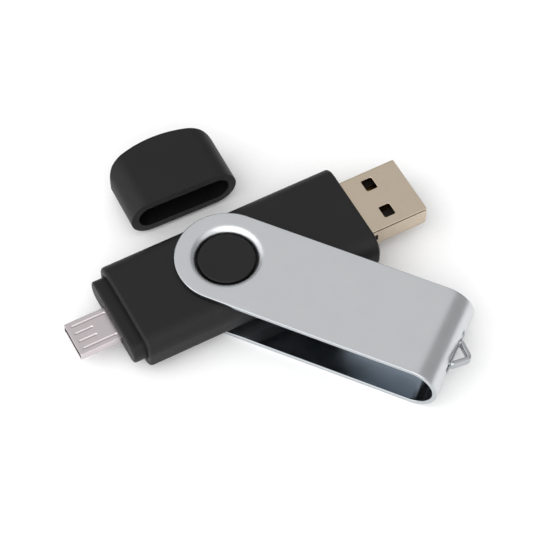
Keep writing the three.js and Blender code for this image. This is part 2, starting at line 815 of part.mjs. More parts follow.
const capGroup = new THREE.Group();
capGroup.position.set(0, housingWidth / 2 + capGapToHousing, 0);
capGroup.rotation.z = capAngle;
capGroup.add(piece('cap', cap(), shared.blackPlastic));
drive.add(capGroup);

const group = new THREE.Group();
group.add(drive);
group.updateMatrixWorld(true);
const extent = new THREE.Box3().setFromObject(group, true);
const centre = extent.getCenter(new THREE.Vector3());
drive.position.set(-centre.x, -centre.y, -extent.min.z);
group.updateMatrixWorld(true);

export default group;
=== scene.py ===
import math

import bmesh
import bpy
from mathutils import Matrix, Vector


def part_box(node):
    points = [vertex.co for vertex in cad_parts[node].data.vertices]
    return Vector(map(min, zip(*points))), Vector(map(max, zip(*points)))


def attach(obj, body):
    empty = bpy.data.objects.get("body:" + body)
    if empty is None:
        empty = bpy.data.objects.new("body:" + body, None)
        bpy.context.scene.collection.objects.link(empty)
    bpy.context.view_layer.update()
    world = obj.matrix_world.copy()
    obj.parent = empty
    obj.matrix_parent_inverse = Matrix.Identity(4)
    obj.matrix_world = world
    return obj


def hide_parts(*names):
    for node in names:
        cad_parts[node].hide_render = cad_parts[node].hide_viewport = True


# A USB flash drive with a type A plug, a micro-B plug, a swivelling sheet-steel clip and a loose cap.
#
# Shapes are drawn in millimetres round the swivel axis at the housing's mid-height, with +X towards
# the type A plug, and are put in the row frame, in metres, when they are finished.

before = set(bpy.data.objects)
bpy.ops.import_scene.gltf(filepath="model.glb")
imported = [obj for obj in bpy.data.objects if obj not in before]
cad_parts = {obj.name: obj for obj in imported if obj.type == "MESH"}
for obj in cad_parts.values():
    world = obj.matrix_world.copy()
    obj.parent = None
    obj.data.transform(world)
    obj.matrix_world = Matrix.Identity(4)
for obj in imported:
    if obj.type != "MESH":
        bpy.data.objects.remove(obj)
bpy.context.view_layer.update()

# ---------------------------------------------------------------- sizes, in millimetres

HOUSING_WIDTH, HOUSING_HEIGHT = 19.4, 7.6
HOUSING_SIDE_RADIUS, HOUSING_END_RADIUS = 3.0, 0.6
HOUSING_WALL = 1.3
UPPER_EDGE, LOWER_EDGE = 0.1, 0.08
PIVOT_TO_WIDE_END, PIVOT_TO_SMALL_END = 24.4, 19.2
PARTING_Z, PARTING_GAP = -1.4, 0.12
LIP_HEIGHT, LIP_THICKNESS, LIP_CLEARANCE = 0.8, 0.6, 0.12
BOSS_RADIUS, BOSS_RISE, BOSS_EDGE = 4.9, 0.3, 0.28
GROOVE_RADIUS, GROOVE_FLOOR = 6.4, 3.03

CLIP_ANGLE = math.radians(-51.6)
CLIP_WIDTH, CLIP_SHEET = 17.6, 0.8
CLIP_OUTER, CLIP_BEND_X = 4.8, 36.484
RIM_THROAT, RIM_FLARE, RIM_TIP_Z = 5.2, 1.4, 3.33
CLIP_EDGE, LONGEST_MITRE = 0.16, 0.3
SLOT_HALF_WIDTH, SLOT_HALF_HEIGHT = 4.06, 1.1

LOOP_WIRE, LOOP_HEIGHT = 0.8, 1.6
LOOP_REACH, LOOP_HALF_BASE = 2.7, 2.9
LOOP_NOSE_RADIUS, LOOP_FOOT_RADIUS, LOOP_WIRE_EDGE = 0.6, 0.45, 0.3

WIDE_WIDTH, WIDE_HEIGHT, WIDE_SHEET, WIDE_FOLD = 12.0, 4.5, 0.3, 0.6
WIDE_REAR_X, WIDE_TIP_X = 17.5, 35.449
WINDOW = (2.05, 2.4)                # along and across the plug
WINDOW_X, WINDOW_Y = 29.225, 3.1
WINDOW_CORNER, WIDE_EDGE = 0.3, 0.11
NOSE_TAPER, NOSE_RISE, NOSE_FOOT_RADIUS, NOSE_TIP_RADIUS = 0.5, 0.7, 0.3, 0.5
SEAM_TOP, SEAM_GAP = 1.95, 0.34
LUG_FROM_X, LUG_TO_X, LUG_HALF_HEIGHT = 25.1, 25.9, 0.75
WIDE_TONGUE = (5.65, -1.9, 0.05)    # half width, underside and top
WIDE_TONGUE_TIP_X = 34.95
WIDE_CONTACT = (1.0, 0.2)           # width and thickness
WIDE_CONTACT_Z, WIDE_CONTACT_CORNER = -0.2, 0.12
WIDE_CONTACT_REAR_X, WIDE_CONTACT_TIP_X = 15.3, 33.95
WIDE_POWER_PITCH, WIDE_DATA_PITCH, WIDE_DATA_BACK = 7.0, 2.0, 1.0

MICRO_WIDTH, MICRO_HEIGHT, MICRO_SHEET, MICRO_BEVEL = 6.85, 1.8, 0.25, 0.5
MICRO_Z = -0.75
MICRO_LOW_CORNER, MICRO_HIGH_CORNER, MICRO_EDGE, MICRO_EDGE_STEPS = 0.12, 0.22, 0.07, 3
MICRO_REAR_X, MICRO_TIP_X = -16.5, -28.9
MICRO_GROOVE_WIDTH, MICRO_GROOVE_DEPTH, MICRO_GROOVE_FROM_TIP = 0.45, 0.12, 0.8
MICRO_GRID = 0.06
MICRO_GROOVES = ((2.35, 6.3), (0.82, 3.4))  # each pair's place off the middle, and its length
MICRO_TONGUE = (4.0, 0.6)                   # width and thickness
MICRO_TONGUE_UNDER, MICRO_TONGUE_TIP_X = -1.35, -28.3
MICRO_CONTACT, MICRO_CONTACT_PITCH, MICRO_CONTACT_TIP_X = (0.35, 0.12), 0.65, -27.7
MICRO_CONTACT_COUNT, MICRO_CONTACT_CORNER = 5, 0.05
LATCH_Y, LATCH_WIDTH, LATCH_THICKNESS = 2.55, 0.5, 0.2
LATCH_HOOK_FROM_TIP, LATCH_HOOK_LENGTH, LATCH_HOOK_RISE = 2.6, 1.6, 0.3
LATCH_PEAK = (0.5, 0.7)             # where the hook is highest, as shares of its length
LATCH_CORNER = 0.1

COLLAR_FACE_X, COLLAR_REAR_X = -21.5, -16.2
COLLAR_WIDTH, COLLAR_HEIGHT, COLLAR_RADIUS = 16.8, 4.2, 1.8
COLLAR_FRONT_EDGE, COLLAR_REAR_EDGE, COLLAR_EDGE, COLLAR_SLOT_CORNER = 0.4, 0.1, 0.12, 0.3
PLUG_CLEARANCE = 0.15

CAP_WIDTH, CAP_HEIGHT, CAP_DEPTH, CAP_WALL = 19.898, 7.6, 12.748, 1.4
CAP_CROWN, CAP_CORNER, CAP_END_EDGE = 20.0, 3.0, 0.55
CAP_MOUTH_Y, CAP_ANGLE = 16.18, math.radians(-1.5)
CAP_EDGE = 0.16
CAP_RIB = (0.8, 6.0, 0.2)           # width, length and height
CAP_RIB_Y, CAP_RIB_SPREAD, CAP_RIB_CORNER = 0.6, 9.0, 0.2

BOARD_FROM_X, BOARD_TO_X, BOARD_WIDTH = -16.0, 17.3, 14.0
BOARD_UNDERSIDE, BOARD_TOP = -1.25, -0.25
POST_RADIUS, POST_INSET = 0.9, 1.6

TONGUE_EDGE, SMALL_EDGE = 0.04, 0.03

FIT = 0.05                  # between pieces that are pressed or moulded together
SHORT_FLAT = 0.05           # what a rounded rectangle keeps of its narrow sides at the least
LINING_DEPTH = 0.02         # how near a face comes to a sheet's inside and still counts as lining
OVERLAP = 0.3               # how far joined shapes reach into each other, and cutters past a face
FAR = 60                    # past everything
SAME_POINT, FLAT_ANGLE = 2e-3, math.radians(0.5)

ARC_STEPS = 12
EDGE_STEPS = 5
ROUND_STEPS = 96
SMALL_ARC_STEPS = 4
POST_STEPS = 24
CROWN_STEPS = 40
FLARE_STEPS = 8
LEAF_STEPS = 4
STRIP_STEPS = 4
BEND_STEPS = 16
SLOT_STEPS = 4
RIM_STEPS = 3
LEAF_RAYS = 2 * ROUND_STEPS
JOIN_RAY = 19
LEAF_JOIN_X = CLIP_WIDTH / 2 / math.tan(2 * math.pi * JOIN_RAY / LEAF_RAYS)

# ---------------------------------------------------------------- places

clip_low, clip_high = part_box("swivel_clip")
housing_low, housing_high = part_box("upper_housing")
METRES = Matrix.Scale(0.001, 4)
pivot = Vector((
    housing_high.x - PIVOT_TO_WIDE_END / 1000,
    (housing_low.y + housing_high.y) / 2,
    (clip_low.z + clip_high.z) / 2,
))
DRIVE = Matrix.Translation(pivot) @ METRES
CLIP = Matrix.Translation(pivot) @ Matrix.Rotation(CLIP_ANGLE, 4, "Z") @ METRES
CAP = DRIVE @ Matrix.Translation((0, CAP_MOUTH_Y, 0)) @ Matrix.Rotation(CAP_ANGLE, 4, "Z")


def along_x(u, v, w):
    """A section point (u across, v up) at w along X."""
    return (w, u, v)


def along_y(u, v, w):
    return (u, w, v)


def along_z(u, v, w):
    return (u, v, w)


# ---------------------------------------------------------------- outlines


def rounded(corners, steps=ARC_STEPS):
    """A closed outline through (x, y, radius) corners, given anticlockwise, each rounded by an arc."""
    points = []
    for i, (x, y, radius) in enumerate(corners):
        corner = Vector((x, y))
        back = (Vector(corners[i - 1][:2]) - corner).normalized()
        ahead = (Vector(corners[(i + 1) % len(corners)][:2]) - corner).normalized()
        if radius <= 0:
            points.append(tuple(corner))
            continue
        half = back.angle(ahead) / 2
        centre = corner + (back + ahead).normalized() * radius / math.sin(half)
        start = corner + back * radius / math.tan(half) - centre
        turn = math.pi - 2 * half
        sign = 1 if back.cross(ahead) < 0 else -1
        for k in range(steps + 1):
            arm = start.copy()
            arm.rotate(Matrix.Rotation(sign * turn * k / steps, 2))
            points.append(tuple(centre + arm))
    return points


def rectangle(width, height, radius, centre=(0, 0), steps=ARC_STEPS):
    """A rounded rectangle, with a short flat left on its narrow sides."""
    x, y = width / 2, height / 2
    radius = min(radius, min(x, y) - SHORT_FLAT)
    signs = ((-1, -1), (1, -1), (1, 1), (-1, 1))
    return rounded([(centre[0] + a * x, centre[1] + b * y, radius) for a, b in signs], steps)


# ---------------------------------------------------------------- solids


def mesh_object(bm, name="shape"):
    bmesh.ops.recalc_face_normals(bm, faces=bm.faces)
    mesh = bpy.data.meshes.new(name)
    bm.to_mesh(mesh)
    bm.free()
    made = bpy.data.objects.new(name, mesh)
    bpy.context.scene.collection.objects.link(made)
    return made


def skinned(rings, capped=True):
    """A body through rings of equal length. Uncapped, its last ring joins its first."""
    bm = bmesh.new()
    loops = [[bm.verts.new(p) for p in ring] for ring in rings]
    pairs = list(zip(loops, loops[1:]))
    if not capped:
        pairs.append((loops[-1], loops[0]))
    for near, far in pairs:
        for i in range(len(near)):
            j = (i + 1) % len(near)
            bm.faces.new((near[i], near[j], far[j], far[i]))
    if capped:
        bm.faces.new(loops[0])
        bm.faces.new(loops[-1])
    return mesh_object(bm)


def rounding(edge):
    """Pairs of (depth from the end, inset) round a rim, from the end face to the side."""
    if edge <= 0:
        return [(0.0, 0.0)]
    angles = [math.pi / 2 * k / EDGE_STEPS for k in range(EDGE_STEPS + 1)]
    return [(edge * (1 - math.cos(a)), edge * (1 - math.sin(a))) for a in angles]


def prism(outline_at, place, start, end, edge=0.0, start_edge=None):
    """A prism whose rims are rounded. outline_at(inset) draws the section that much smaller."""
    near = rounding(edge if start_edge is None else start_edge)
    far = reversed(rounding(edge))
    levels = [(start + depth, inset) for depth, inset in near]
    levels += [(end - depth, inset) for depth, inset in far]
    return skinned([[place(u, v, w) for u, v in outline_at(inset)] for w, inset in levels])


def box(from_x, to_x, from_y, to_y, from_z, to_z):
    corners = ((from_x, from_y), (to_x, from_y), (to_x, to_y), (from_x, to_y))
    return skinned([[(x, y, z) for x, y in corners] for z in (from_z, to_z)])


def turned(profile, steps=ROUND_STEPS, centre=(0, 0)):
    """A body turned round an upright axis from (radius, z) points; a radius of 0 closes it."""
    rings = []
    for k in range(steps):
        angle = 2 * math.pi * k / steps
        rings.append([(centre[0] + r * math.cos(angle), centre[1] + r * math.sin(angle), z)
                      for r, z in profile])
    made = skinned(rings, capped=False)
    bm = bmesh.new()
    bm.from_mesh(made.data)
    bmesh.ops.remove_doubles(bm, verts=bm.verts, dist=1e-5)
    bmesh.ops.recalc_face_normals(bm, faces=bm.faces)
    bm.to_mesh(made.data)
    bm.free()
    return made


def plain_mesh(thing):
    """The object's mesh with its modifiers taken up, and the modifiers gone."""
    bpy.context.view_layer.update()
    graph = bpy.context.evaluated_depsgraph_get()
    mesh = bpy.data.meshes.new_from_object(thing.evaluated_get(graph))
    thing.modifiers.clear()
    thing.data = mesh
    return thing


def combined(thing, other, operation):
    modifier = thing.modifiers.new(operation, "BOOLEAN")
    modifier.operation = operation
    modifier.solver = "MANIFOLD"
    modifier.object = other
    plain_mesh(thing)
    bpy.data.objects.remove(other)
    return thing


def cut(thing, *others):
    for other in others:
        combined(thing, other, "DIFFERENCE")
    return thing


def joined(thing, *others):
    for other in others:
        combined(thing, other, "UNION")
    return thing


def softened(thing, width, angle=40, segments=3, clamped=True):
    """Rounds every edge sharper than the angle, as moulding and tumbling do."""
    bm = bmesh.new()
    bm.from_mesh(thing.data)
    bmesh.ops.remove_doubles(bm, verts=bm.verts, dist=SAME_POINT)
    bmesh.ops.dissolve_limit(bm, angle_limit=FLAT_ANGLE, verts=bm.verts, edges=bm.edges)
    bm.to_mesh(thing.data)
    bm.free()
    modifier = thing.modifiers.new("edges", "BEVEL")
    modifier.limit_method = "ANGLE"
    modifier.angle_limit = math.radians(angle)
    modifier.width = width
    modifier.segments = segments
    modifier.miter_outer = "MITER_ARC"
    modifier.use_clamp_overlap = clamped
    return plain_mesh(thing)


def painted_shade_inside(thing, half_width, low, high):
    """Marks the faces inside a sleeve, which take its second material: a darker nickel that paints the shade
    inside the sleeve.
    """
    for polygon in thing.data.polygons:
        centre = polygon.center
        if abs(centre.y) < half_width and low < centre.z < high:
            polygon.material_index = 1
    return thing


def finished(thing, name, matrix, body, slot, materials, stands_for=None, smooth_angle=35):
    """Puts a shape in its place in the row frame, shades it and gives it to its CAD body."""
    thing.name = name
    thing.data.name = name
    thing.data.transform(matrix)
    for polygon in thing.data.polygons:
        polygon.use_smooth = True
    thing.data.set_sharp_from_angle(angle=math.radians(smooth_angle))
    places = [polygon.material_index for polygon in thing.data.polygons]
    thing.data.materials.clear()
    for material in materials:
        thing.data.materials.append(material)
    for polygon, place in zip(thing.data.polygons, places):
        polygon.material_index = min(place, len(materials) - 1)
    normals = thing.modifiers.new("normals", "WEIGHTED_NORMAL")
    normals.mode = "FACE_AREA"
    normals.weight = 100
    normals.keep_sharp = True
    plain_mesh(thing)
    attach(thing, body)
    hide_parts(*(stands_for or [name]))
    return thing


# ---------------------------------------------------------------- materials


def linear(code):
    """An sRGB hex colour as a linear RGBA value."""
    channels = [int(code[i:i + 2], 16) / 255 for i in (1, 3, 5)]
    return (*[c / 12.92 if c <= 0.04045 else ((c + 0.055) / 1.055) ** 2.4 for c in channels], 1.0)


def node(tree, kind, inputs=None, **settings):
    """Adds a node with its settings, and sets or links each input named."""
    made = tree.nodes.new(kind)
    for name, value in settings.items():
        setattr(made, name, value)
    for name, value in (inputs or {}).items():
        if isinstance(value, bpy.types.NodeSocket):
            tree.links.new(value, made.inputs[name])
        else:
            made.inputs[name].default_value = value
    return made


def per_mm(size):
    """A texture scale whose features are about this many millimetres apart."""
    return 1000.0 / size


def surface(name, **shader_values):
    """A material with a Principled shader, and the object coordinates that its patterns read."""
    material = bpy.data.materials.new(name)
    material.use_nodes = True
    tree = material.node_tree
    tree.nodes.clear()
    shader = node(tree, "ShaderNodeBsdfPrincipled", shader_values)
    node(tree, "ShaderNodeOutputMaterial", {"Surface": shader.outputs["BSDF"]})
    place = node(tree, "ShaderNodeTexCoord").outputs["Object"]
    return material, tree, shader, place


def noise(tree, place, size_mm, detail, roughness=0.5):
    return node(tree, "ShaderNodeTexNoise", {
        "Vector": place, "Scale": per_mm(size_mm), "Detail": detail, "Roughness": roughness}).outputs["Fac"]


def mixed(tree, share, first, second):
    """A colour between two others, by a pattern's strength."""
    return node(tree, "ShaderNodeMix", {"Factor": share, "A": first, "B": second},
                data_type="RGBA").outputs["Result"]


def spread(tree, pattern, low, high):
    """Where most of a noise pattern lies, spread over a range of roughness."""
    return node(tree, "ShaderNodeMapRange", {
        "Value": pattern, "From Min": 0.3, "From Max": 0.7, "To Min": low, "To Max": high}).outputs["Result"]


def relief(tree, pattern, strength, depth_mm):
    return node(tree, "ShaderNodeBump", {
        "Height": pattern, "Strength": strength, "Distance": depth_mm / 1000}).outputs["Normal"]


def dressed(tree, shader, colour, roughness, normal):
    for name, value in (("Base Color", colour), ("Roughness", roughness), ("Normal", normal)):
        tree.links.new(value, shader.inputs[name])


def moulded_abs(name, colour, light, rough):
    """Black ABS moulded against a spark-eroded steel tool: an even, fine satin grain, a slow change
    of shade where the melt cooled, and a few specks of lint that the static holds."""
    material, tree, shader, place = surface(name, **{"Metallic": 0.0, "IOR": 1.5, "Specular IOR Level": 0.36})
    grain = noise(tree, place, 0.32, 4.0, 0.65)
    shade = mixed(tree, noise(tree, place, 9, 3.0), linear(colour), linear(light))
    specks = node(tree, "ShaderNodeTexVoronoi", {"Vector": place, "Scale": per_mm(2.6)})
    lint = node(tree, "ShaderNodeMapRange", {
        "Value": specks.outputs["Distance"], "From Min": 0.018, "From Max": 0.03,
        "To Min": 0.12, "To Max": 0.0})
    dusty = mixed(tree, lint.outputs["Result"], shade, linear("#8a8680"))
    dressed(tree, shader, dusty, spread(tree, grain, rough - 0.07, rough + 0.09),
            relief(tree, grain, 0.35, 0.03))
    return material


def plated(name, colour, dark, rough, grain_mm, depth_mm, drift=0.05):
    """Plated sheet steel. The blast or rolling grain under the plate scatters the reflection, and
    slow clouding shows where the plate is thicker."""
    material, tree, shader, place = surface(name, Metallic=1.0)
    cloud = noise(tree, place, 3.5, 5.0, 0.6)
    grain = noise(tree, place, grain_mm, 3.0, 0.7)
    both = node(tree, "ShaderNodeMath", {0: cloud, 1: grain, 2: 0.12}, operation="MULTIPLY_ADD")
    tone = mixed(tree, both.outputs["Value"], linear(dark), linear(colour))
    dressed(tree, shader, tone, spread(tree, cloud, rough - drift, rough + drift),
            relief(tree, grain, 0.5, depth_mm))
    return material


def filled_resin(name, colour, light, rough, grain_mm):
    """Glass- or silica-filled resin, moulded or baked: a dull body with fine filler just showing."""
    material, tree, shader, place = surface(name, Metallic=0.0, IOR=1.52)
    filler = noise(tree, place, grain_mm, 5.0, 0.75)
    dressed(tree, shader, mixed(tree, filler, linear(colour), linear(light)),
            spread(tree, filler, rough - 0.06, rough + 0.06), relief(tree, filler, 0.3, 0.01))
    return material


def solder_mask(name):
    """Green solder mask over glass-epoxy laminate: the weave shows faintly, and the copper tracks
    under the mask show as paler bands."""
    material, tree, shader, place = surface(name, **{"Metallic": 0.0, "IOR": 1.5, "Coat Weight": 0.4})
    weave = node(tree, "ShaderNodeTexWave", {"Vector": place, "Scale": per_mm(1.6), "Distortion": 0.6},
                 wave_type="BANDS", bands_direction="DIAGONAL")
    tracks = node(tree, "ShaderNodeTexBrick", {
        "Vector": place, "Color1": linear("#1c5030"), "Color2": linear("#2a6b40"),
        "Mortar": linear("#17432a"), "Scale": per_mm(4.5), "Mortar Size": 0.05})
    gloss = node(tree, "ShaderNodeMapRange", {
        "Value": weave.outputs["Fac"], "To Min": 0.3, "To Max": 0.42})
    dressed(tree, shader, mixed(tree, 0.12, tracks.outputs["Color"], weave.outputs["Color"]),
            gloss.outputs["Result"], relief(tree, tracks.outputs["Fac"], 0.4, 0.03))
    return material


housing_abs = moulded_abs("moulded_black_abs", "#090809", "#0e0d0f", 0.52)
cap_abs = moulded_abs("moulded_black_abs_cap", "#080708", "#0c0b0d", 0.5)
blasted_chrome = plated("bead_blasted_chrome_plate", "#dadcde", "#cfd1d4", 0.32, 0.2, 0.004, 0.015)
polished_edge = plated("tumbled_chrome_edge", "#c6cacd", "#b6babe", 0.1, 0.5, 0.001, 0.03)
inner_chrome = plated("unblasted_chrome_inside", "#d9dee3", "#cdd3d9", 0.13, 0.6, 0.001, 0.03)
wire_chrome = plated("polished_chrome_wire", "#c3c6c9", "#aeb1b4", 0.1, 0.5, 0.002, 0.03)
warm_nickel = plated("satin_nickel_plate", "#d4c6b3", "#c8b9a5", 0.3, 0.24, 0.003)
pale_nickel = plated("pale_nickel_plate", "#dad2d4", "#cbc3c5", 0.3, 0.2, 0.003)
gold_plate = plated("hard_gold_plate", "#e2bb63", "#cfa44c", 0.24, 0.15, 0.002)
tin_plate = plated("tinned_steel_can", "#cfcfcd", "#bdbdbb", 0.32, 0.2, 0.002)
tongue_resin = filled_resin("glass_filled_black_lcp", "#1d1714", "#2d241e", 0.5, 0.2)
chip_resin = filled_resin("silica_filled_chip_resin", "#1a1a1b", "#232324", 0.6, 0.1)
ceramic = filled_resin("fired_capacitor_ceramic", "#a88a63", "#bfa27b", 0.45, 0.1)
# A darker copy of the nickel plate for the faces inside the plug shells: painted shade where little light
# gets in.
shaded_nickel = plated("oxidised_nickel_inside", "#4b4446", "#3b3537", 0.4, 0.2, 0.003)
green_mask = solder_mask("solder_mask_on_laminate")


# ---------------------------------------------------------------- housing


def housing_section(inset):
    return rectangle(HOUSING_WIDTH - 2 * inset, HOUSING_HEIGHT - 2 * inset, HOUSING_SIDE_RADIUS - inset)


def wide_outline(grown):
    """The type A shell's section: three folds, and a square edge above its seam."""
    y, z = WIDE_WIDTH / 2 + grown, WIDE_HEIGHT / 2 + grown
    return rounded([(-y, -z, WIDE_FOLD), (y, -z, WIDE_FOLD), (y, z, WIDE_FOLD), (-y, z, 0)])


def hollow(inset):
    """The space inside the shells, drawn in by the given amount."""
    across = HOUSING_WIDTH - 2 * (HOUSING_WALL + inset)
    high = HOUSING_HEIGHT - 2 * (HOUSING_WALL + inset)
    radius = max(HOUSING_SIDE_RADIUS - HOUSING_WALL - inset, OVERLAP)
    return prism(lambda _: rectangle(across, high, radius), along_x,
                 HOUSING_WALL + inset - PIVOT_TO_SMALL_END, PIVOT_TO_WIDE_END - HOUSING_WALL - inset)


def wide_passage():
    return prism(lambda _: wide_outline(PLUG_CLEARANCE), along_x, WIDE_REAR_X - OVERLAP, WIDE_TIP_X)


def collar_passage():
    gap = 2 * PLUG_CLEARANCE
    return prism(lambda _: rectangle(COLLAR_WIDTH + gap, COLLAR_HEIGHT + gap, COLLAR_RADIUS), along_x,
                 MICRO_TIP_X, COLLAR_REAR_X + PLUG_CLEARANCE)


def boss(side):
    """The round boss in its groove, with a rounded top edge."""
    top = HOUSING_HEIGHT / 2 + BOSS_RISE
    crown = [(BOSS_RADIUS - inset, side * (top - depth)) for depth, inset in reversed(rounding(BOSS_EDGE))]
    foot = side * (GROOVE_FLOOR - OVERLAP)
    return turned([(0, foot), (BOSS_RADIUS, foot), *crown, (0, side * top)])


def housing_body():
    body = prism(housing_section, along_x, -PIVOT_TO_SMALL_END, PIVOT_TO_WIDE_END, HOUSING_END_RADIUS)
    for side in (-1, 1):
        pocket = turned([(0, side * GROOVE_FLOOR), (GROOVE_RADIUS, side * GROOVE_FLOOR),
                         (GROOVE_RADIUS, side * HOUSING_HEIGHT), (0, side * HOUSING_HEIGHT)])
        body = joined(cut(body, pocket), boss(side))
    return cut(body, hollow(0), wide_passage(), collar_passage())


def slab(from_z, to_z):
    return box(-FAR, FAR, -HOUSING_WIDTH, HOUSING_WIDTH, from_z, to_z)


def board_posts(from_z, to_z):
    middle = (BOARD_FROM_X + BOARD_TO_X) / 2
    reach = (BOARD_TO_X - BOARD_FROM_X) / 2 - POST_INSET
    side = BOARD_WIDTH / 2 - POST_INSET
    return [turned([(0, from_z), (POST_RADIUS, from_z), (POST_RADIUS, to_z), (0, to_z)],
                   POST_STEPS, (middle + a * reach, b * side))
            for a in (-1, 1) for b in (-1, 1)]


def upper_housing():
    body = combined(housing_body(), slab(PARTING_Z + PARTING_GAP / 2, HOUSING_HEIGHT), "INTERSECT")
    ceiling = HOUSING_HEIGHT / 2 - HOUSING_WALL
    return softened(joined(body, *board_posts(BOARD_TOP + FIT, ceiling + OVERLAP)), UPPER_EDGE)


def locating_lip():
    """The lower shell's lip: its root fills out to the wall, and its rim stands inside the upper shell."""
    seat = PARTING_Z - PARTING_GAP / 2
    root = cut(hollow(-LIP_CLEARANCE), hollow(LIP_THICKNESS))
    root = combined(root, slab(seat - LIP_HEIGHT, seat), "INTERSECT")
    rim = cut(hollow(LIP_CLEARANCE), hollow(LIP_THICKNESS))
    rim = combined(rim, slab(seat - LIP_HEIGHT, PARTING_Z + LIP_HEIGHT), "INTERSECT")
    return cut(joined(root, rim), wide_passage(), collar_passage())


def lower_housing():
    body = combined(housing_body(), slab(-HOUSING_HEIGHT, PARTING_Z - PARTING_GAP / 2), "INTERSECT")
    floor = HOUSING_WALL - HOUSING_HEIGHT / 2
    posts = board_posts(floor - OVERLAP, BOARD_UNDERSIDE - FIT)
    return softened(joined(body, locating_lip(), *posts), LOWER_EDGE)


def plug_collar():
    """The stepped end frame that holds the small plug, with a slot for it."""
    block = prism(lambda inset: rectangle(COLLAR_WIDTH - 2 * inset, COLLAR_HEIGHT - 2 * inset,
                                          COLLAR_RADIUS - inset),
                  along_x, COLLAR_FACE_X, COLLAR_REAR_X, COLLAR_REAR_EDGE, COLLAR_FRONT_EDGE)
    slot = prism(lambda _: rectangle(MICRO_WIDTH + 2 * PLUG_CLEARANCE, MICRO_HEIGHT + 2 * PLUG_CLEARANCE,
                                     COLLAR_SLOT_CORNER, (0, MICRO_Z)),
                 along_x, MICRO_TIP_X, COLLAR_REAR_X + OVERLAP)
    return softened(cut(block, slot), COLLAR_EDGE)


# ---------------------------------------------------------------- type A plug


def wide_shell():
    """One folded sheet: windows top and bottom, an open seam, and a lanced lug on the near side."""
    y, z = WIDE_WIDTH / 2, WIDE_HEIGHT / 2
    shell = prism(lambda _: wide_outline(0), along_x, WIDE_REAR_X, WIDE_TIP_X)
    nose = prism(lambda _: rounded([
        (WIDE_REAR_X - 1, -z - 1, 0), (WIDE_TIP_X - NOSE_TAPER, -z - 1, 0),
        (WIDE_TIP_X - NOSE_TAPER, -z, NOSE_FOOT_RADIUS), (WIDE_TIP_X, -z + NOSE_RISE, NOSE_TIP_RADIUS),
        (WIDE_TIP_X, z + 1, 0), (WIDE_REAR_X - 1, z + 1, 0)]), along_y, -y - 1, y + 1)
    shell = combined(shell, nose, "INTERSECT")
    bore = prism(lambda _: rectangle(WIDE_WIDTH - 2 * WIDE_SHEET, WIDE_HEIGHT - 2 * WIDE_SHEET,
                                     WIDE_FOLD - WIDE_SHEET),
                 along_x, WIDE_REAR_X - OVERLAP, WIDE_TIP_X + OVERLAP)
    seam = box(WIDE_REAR_X - OVERLAP, WIDE_TIP_X + OVERLAP, -y - OVERLAP, -y + WIDE_FOLD,
               SEAM_TOP - SEAM_GAP, SEAM_TOP)
    windows = [prism(lambda _: rectangle(*WINDOW, WINDOW_CORNER, (WINDOW_X, side * WINDOW_Y), 6),
                     along_z, -z - 1, z + 1)
               for side in (-1, 1)]
    lug = box(LUG_FROM_X, LUG_TO_X, -y - OVERLAP, -y + WIDE_SHEET + OVERLAP,
              -LUG_HALF_HEIGHT, LUG_HALF_HEIGHT)
    shell = softened(cut(shell, bore, seam, lug, *windows), WIDE_EDGE, 50, clamped=False)
    # The faces inside the sheet take the darker nickel, as painted shade.
    lining = WIDE_SHEET - LINING_DEPTH
    return painted_shade_inside(shell, y - lining, lining - z, z - lining)


def wide_tongue():
    half, under, top = WIDE_TONGUE
    block = prism(lambda _: rounded([(-half, under, WIDE_FOLD), (half, under, WIDE_FOLD), (half, top, 0),
                                     (-half, top, 0)]),
                  along_x, WIDE_REAR_X + FIT, WIDE_TONGUE_TIP_X)
    half_groove = WIDE_CONTACT[0] / 2 + FIT
    for pitch, tip in ((WIDE_POWER_PITCH, WIDE_CONTACT_TIP_X),
                       (WIDE_DATA_PITCH, WIDE_CONTACT_TIP_X - WIDE_DATA_BACK)):
        for y in (-pitch / 2, pitch / 2):
            cut(block, box(WIDE_REAR_X - OVERLAP, tip + FIT, y - half_groove, y + half_groove,
                           WIDE_CONTACT_Z - FIT, top + OVERLAP))
    return softened(block, TONGUE_EDGE)


# ---------------------------------------------------------------- micro-B plug


def micro_section(inset):
    """The small plug's section: its lower corners are bevelled, and its upper ones only rounded."""
    y = MICRO_WIDTH / 2 - inset
    low, high = MICRO_Z - MICRO_HEIGHT / 2 + inset, MICRO_Z + MICRO_HEIGHT / 2 - inset
    bevel = MICRO_BEVEL - inset / 2
    lower, upper = MICRO_LOW_CORNER, MICRO_HIGH_CORNER
    points = rounded([
        (-y + bevel, low, lower), (y - bevel, low, lower), (y, low + bevel, lower),
        (y, high, upper), (-y, high, upper), (-y, low + bevel, lower)], SMALL_ARC_STEPS)
    return evenly(points, high - LINING_DEPTH / 2)


def evenly(points, top):
    """The outline again with its sides divided, finely along the top, which is then pressed."""
    made = []
    for i, point in enumerate(points):
        following = Vector(points[(i + 1) % len(points)])
        spacing = MICRO_GRID if min(point[1], following[1]) > top else 6 * MICRO_GRID
        count = max(1, round((following - Vector(point)).length / spacing))
        made += [tuple(Vector(point).lerp(following, k / count)) for k in range(count)]
    return made


def groove_depth(x, y):
    """How far the top of the micro-B shell is pressed in at a place."""
    half = MICRO_GROOVE_WIDTH / 2
    start = MICRO_TIP_X + MICRO_GROOVE_FROM_TIP + half
    depth = 0.0
    for place, length in MICRO_GROOVES:
        nearest = min(max(x, start), start + length - 2 * half)
        away = math.hypot(x - nearest, abs(y) - place) / half
        if away < 1:
            depth = MICRO_GROOVE_DEPTH * (1 - away**2)
    return depth


def between(outline, inner, share, x):
    """A ring at x, between the outer and inner outlines."""
    return [(x, a[0] + (b[0] - a[0]) * share, a[1] + (b[1] - a[1]) * share)
            for a, b in zip(outline, inner)]


